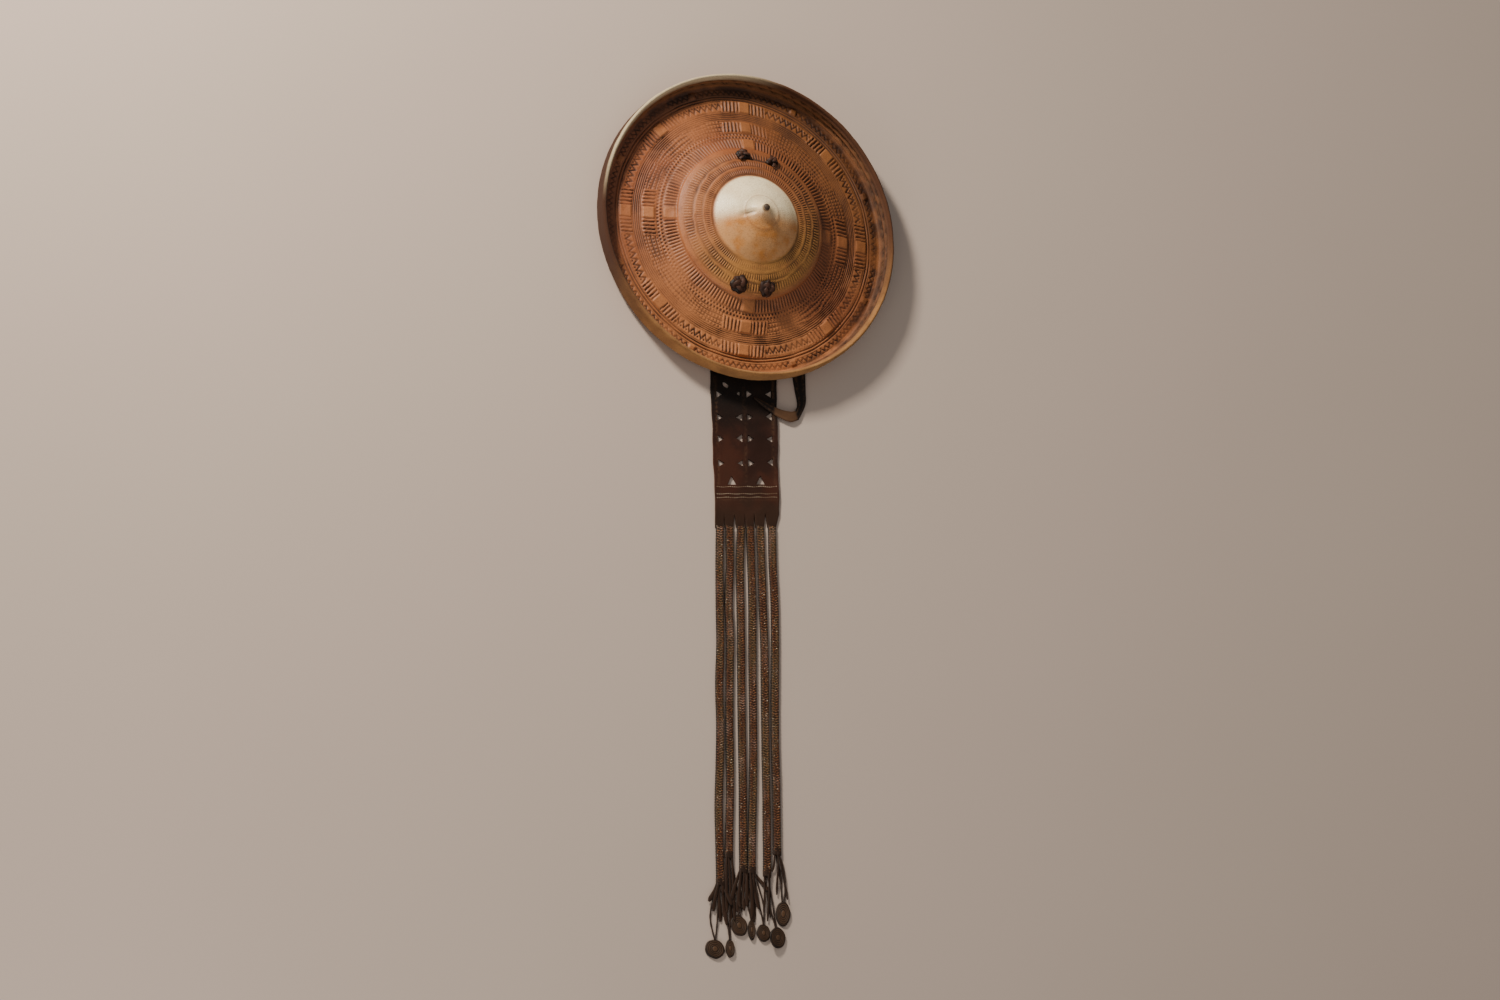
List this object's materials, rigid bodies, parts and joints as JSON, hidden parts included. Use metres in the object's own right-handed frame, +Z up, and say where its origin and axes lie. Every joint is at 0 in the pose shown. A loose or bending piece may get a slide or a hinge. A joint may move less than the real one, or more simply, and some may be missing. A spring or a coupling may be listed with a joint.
{
  "type": "hide shield",
  "caption": "Round moulded hide shield with a boss and tooled face, a hand grip behind, a pierced sling strap and hanging leather plaits with discs.",
  "frame": {"origin": "on the shield's axis, at floor level, in the flat underside of the hand grip", "axes": "+Z up, out of the shield's face; +Y along the hand grip, away from the sling; the sling lies towards -Y"},
  "size_m": [0.54, 1.5783, 0.1193],
  "materials": {
    "tooled_hide": "tooled, satin, worn shiny on the boss",
    "grip_leather": "dark, handled",
    "strap_leather": "dark, smooth",
    "braid_leather": "plaited, dark red brown",
    "disc_leather": "stamped, dark brown"
  },
  "bodies": {
    "root": {"shield_hide": "tooled_hide", "hand_grip": "grip_leather", "sling_panel": "strap_leather", "carrying_strap": "strap_leather", "braid_1": "braid_leather", "braid_2": "braid_leather", "braid_3": "braid_leather", "braid_4": "braid_leather", "braid_5": "braid_leather", "braid_6": "braid_leather", "disc_thong_1": "braid_leather", "disc_thong_2": "braid_leather", "disc_thong_3": "braid_leather", "disc_thong_4": "braid_leather", "disc_thong_5": "braid_leather", "disc_thong_6": "braid_leather", "disc_thong_7": "braid_leather", "disc_1": "disc_leather", "disc_2": "disc_leather", "disc_3": "disc_leather", "disc_4": "disc_leather", "disc_5": "disc_leather", "disc_6": "disc_leather", "disc_7": "disc_leather"}
  },
  "joints": []
}
